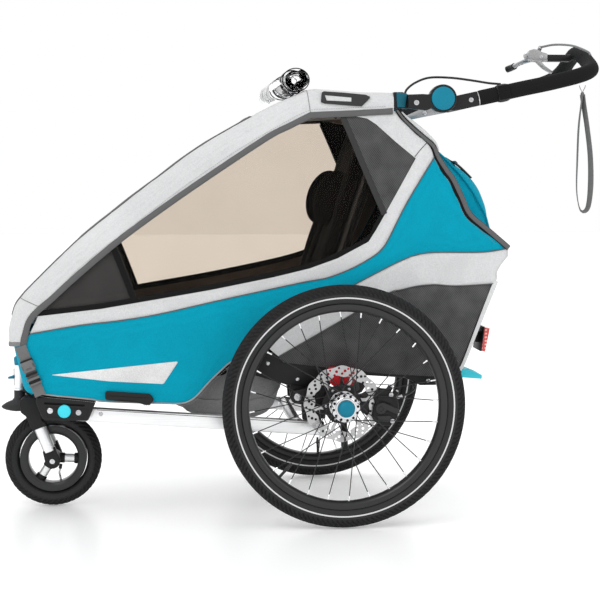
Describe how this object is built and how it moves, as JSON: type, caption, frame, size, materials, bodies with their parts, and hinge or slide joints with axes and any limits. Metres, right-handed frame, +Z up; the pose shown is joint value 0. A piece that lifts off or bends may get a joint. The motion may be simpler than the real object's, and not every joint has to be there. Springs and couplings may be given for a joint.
{
  "type": "child bicycle trailer",
  "caption": "Folding child bicycle trailer and stroller: fabric cabin with clear side windows, spoked disc-braked rear wheels on swing arms, swivelling caster and padded tilting push handle.",
  "frame": {"origin": "on the ground, at the middle of the overall length and width", "axes": "+X points to the rear (push handle), -X to the front (caster), +Z up; the trailer's left side is -Y"},
  "size_m": [1.2834, 0.661, 1.0072],
  "materials": {
    "silver_tube": "satin",
    "black_plastic": "fine grain",
    "black_paint": "satin black",
    "teal_plastic": "semi-gloss teal",
    "teal_fabric": "woven heather, teal",
    "grey_fabric": "woven heather, light grey",
    "dark_mesh": "coated mesh",
    "clear_sheet": "clear soft sheet, slightly tinted",
    "tyre_rubber": "moulded",
    "steel": "brushed",
    "foam": "closed-cell foam",
    "red_elastomer": "satin",
    "red_lens": "prismatic",
    "black_lining": "padded lining",
    "webbing": "woven webbing",
    "heather": "heather cloth"
  },
  "bodies": {
    "chassis": {"lower_frame": "silver_tube", "rear_carrier": "black_plastic", "left_front_bracket": "black_plastic", "right_front_bracket": "black_plastic", "caster_arm": "black_plastic", "left_suspension_block": "red_elastomer", "right_suspension_block": "red_elastomer", "caliper_cable": "black_plastic", "footwell_panel": "teal_fabric", "seat_cushion": "black_lining", "seat_tub": "heather", "luggage_floor": "dark_mesh", "left_side_panel": "teal_fabric", "right_side_panel": "teal_fabric", "left_side_window": "clear_sheet", "right_side_window": "clear_sheet", "rear_cover": "grey_fabric", "rear_reflector": "red_lens", "drawbar_holder": "black_plastic"},
    "swivel_lock": {"swivel_lock_knob": "teal_plastic"},
    "caster_fork": {"caster_fork": "black_plastic", "caster_axle": "steel"},
    "caster_wheel": {"caster_rim": "black_plastic", "caster_tyre": "tyre_rubber"},
    "left_arm": {"left_swing_arm": "black_plastic", "left_caliper": "black_plastic"},
    "right_arm": {"right_swing_arm": "black_plastic", "right_caliper": "black_plastic"},
    "left_wheel": {"left_tyre": "tyre_rubber", "left_rim": "black_paint", "left_hub": "silver_tube", "left_brake_rotor": "steel"},
    "right_wheel": {"right_tyre": "tyre_rubber", "right_rim": "black_paint", "right_hub": "silver_tube", "right_brake_rotor": "steel"},
    "left_wheel_cap": {"left_wheel_release_cap": "teal_plastic"},
    "right_wheel_cap": {"right_wheel_release_cap": "teal_plastic"},
    "left_bracket_button": {"left_bracket_button": "teal_plastic"},
    "right_bracket_button": {"right_bracket_button": "teal_plastic"},
    "upper_frame": {"upper_frame": "silver_tube", "left_fold_joint": "black_plastic", "right_fold_joint": "black_plastic", "front_cover": "grey_fabric", "rolled_rain_cover": "clear_sheet", "frame_cable": "black_plastic"},
    "left_fold_latch": {"left_fold_latch": "teal_plastic"},
    "right_fold_latch": {"right_fold_latch": "teal_plastic"},
    "left_handle_button": {"left_handle_button": "teal_plastic"},
    "right_handle_button": {"right_handle_button": "teal_plastic"},
    "seat_back": {"seat_back_frame": "silver_tube", "back_cushion": "black_lining"},
    "fold_bail": {"fold_bail": "black_plastic"},
    "handlebar": {"handlebar": "silver_tube", "foam_grip": "foam", "brake_lever_perch": "black_plastic", "lever_cable": "black_plastic", "wrist_lanyard": "webbing"},
    "brake_lever": {"brake_lever": "silver_tube"},
    "parking_pedal": {"parking_brake_pedal": "teal_plastic"}
  },
  "joints": [
    {"name": "swivel_lock_lift", "type": "slide", "parent": "chassis", "child": "swivel_lock", "axis": [0, 0, 1], "range_m": [0, 0.008], "stiffness_N_per_m": 800},
    {"name": "caster_swivel", "type": "hinge", "parent": "chassis", "child": "caster_fork", "pos_m": [-0.6027, 0, 0.24], "axis": [0, 0, 1], "continuous": true},
    {"name": "caster_spin", "type": "hinge", "parent": "caster_fork", "child": "caster_wheel", "pos_m": [-0.5307, 0, 0.105], "axis": [0, 1, 0], "continuous": true},
    {"name": "left_suspension", "type": "hinge", "parent": "chassis", "child": "left_arm", "pos_m": [-0.0147, -0.21, 0.262], "axis": [0, 1, 0], "range_deg": [-8, 2], "stiffness_Nm_per_rad": 220, "springref_deg": 1.03, "deforming": ["left_suspension_block", "caliper_cable"]},
    {"name": "left_wheel_spin", "type": "hinge", "parent": "left_arm", "child": "left_wheel", "pos_m": [0.0753, -0.285, 0.25], "axis": [0, 1, 0], "continuous": true},
    {"name": "left_wheel_release", "type": "slide", "parent": "left_wheel", "child": "left_wheel_cap", "axis": [0, 1, 0], "range_m": [0, 0.003], "stiffness_N_per_m": 1500},
    {"name": "left_bracket_release", "type": "slide", "parent": "chassis", "child": "left_bracket_button", "axis": [0, 1, 0], "range_m": [0, 0.003], "stiffness_N_per_m": 1200},
    {"name": "right_suspension", "type": "hinge", "parent": "chassis", "child": "right_arm", "pos_m": [-0.0147, 0.21, 0.262], "axis": [0, 1, 0], "range_deg": [-8, 2], "stiffness_Nm_per_rad": 220, "springref_deg": 1.03, "deforming": ["right_suspension_block", "caliper_cable"]},
    {"name": "right_wheel_spin", "type": "hinge", "parent": "right_arm", "child": "right_wheel", "pos_m": [0.0753, 0.285, 0.25], "axis": [0, 1, 0], "continuous": true},
    {"name": "right_wheel_release", "type": "slide", "parent": "right_wheel", "child": "right_wheel_cap", "axis": [0, -1, 0], "range_m": [0, 0.003], "stiffness_N_per_m": 1500},
    {"name": "right_bracket_release", "type": "slide", "parent": "chassis", "child": "right_bracket_button", "axis": [0, -1, 0], "range_m": [0, 0.003], "stiffness_N_per_m": 1200},
    {"name": "frame_fold", "type": "hinge", "parent": "chassis", "child": "upper_frame", "pos_m": [-0.5347, 0, 0.285], "axis": [0, 1, 0], "range_deg": [0, 32], "deforming": ["left_side_panel", "right_side_panel", "left_side_window", "right_side_window", "rear_cover"]},
    {"name": "seat_back_fold", "type": "hinge", "parent": "upper_frame", "child": "seat_back", "pos_m": [0.1753, 0, 0.838], "axis": [0, 1, 0], "range_deg": [0, 38]},
    {"name": "bail_fold", "type": "hinge", "parent": "chassis", "child": "fold_bail", "pos_m": [-0.006, 0, 0.2844], "axis": [0, 1, 0], "range_deg": [-69.2, 0]},
    {"name": "left_fold_release", "type": "slide", "parent": "upper_frame", "child": "left_fold_latch", "axis": [-1, 0, 0], "range_m": [0, 0.005], "stiffness_N_per_m": 900},
    {"name": "left_handle_release", "type": "slide", "parent": "upper_frame", "child": "left_handle_button", "axis": [0, 1, 0], "range_m": [0, 0.0028], "stiffness_N_per_m": 1200},
    {"name": "right_fold_release", "type": "slide", "parent": "upper_frame", "child": "right_fold_latch", "axis": [-1, 0, 0], "range_m": [0, 0.005], "stiffness_N_per_m": 900},
    {"name": "right_handle_release", "type": "slide", "parent": "upper_frame", "child": "right_handle_button", "axis": [0, -1, 0], "range_m": [0, 0.0028], "stiffness_N_per_m": 1200},
    {"name": "handlebar_tilt", "type": "hinge", "parent": "upper_frame", "child": "handlebar", "pos_m": [0.2873, 0, 0.879], "axis": [0, 1, 0], "range_deg": [-110, 30], "deforming": ["wrist_lanyard", "frame_cable", "lever_cable"]},
    {"name": "brake_lever_pull", "type": "hinge", "parent": "handlebar", "child": "brake_lever", "pos_m": [0.5373, 0.003, 0.978], "axis": [0, 0, 1], "range_deg": [-20, 0], "stiffness_Nm_per_rad": 1.5},
    {"name": "parking_pedal_press", "type": "hinge", "parent": "chassis", "child": "parking_pedal", "pos_m": [0.2973, 0, 0.2855], "axis": [0, 1, 0], "range_deg": [0, 20]}
  ],
  "couplings": [
    {"joint": "seat_back_fold", "follows": "frame_fold", "ratio": 1.172},
    {"joint": "bail_fold", "follows": "frame_fold", "ratio": -2.15}
  ]
}
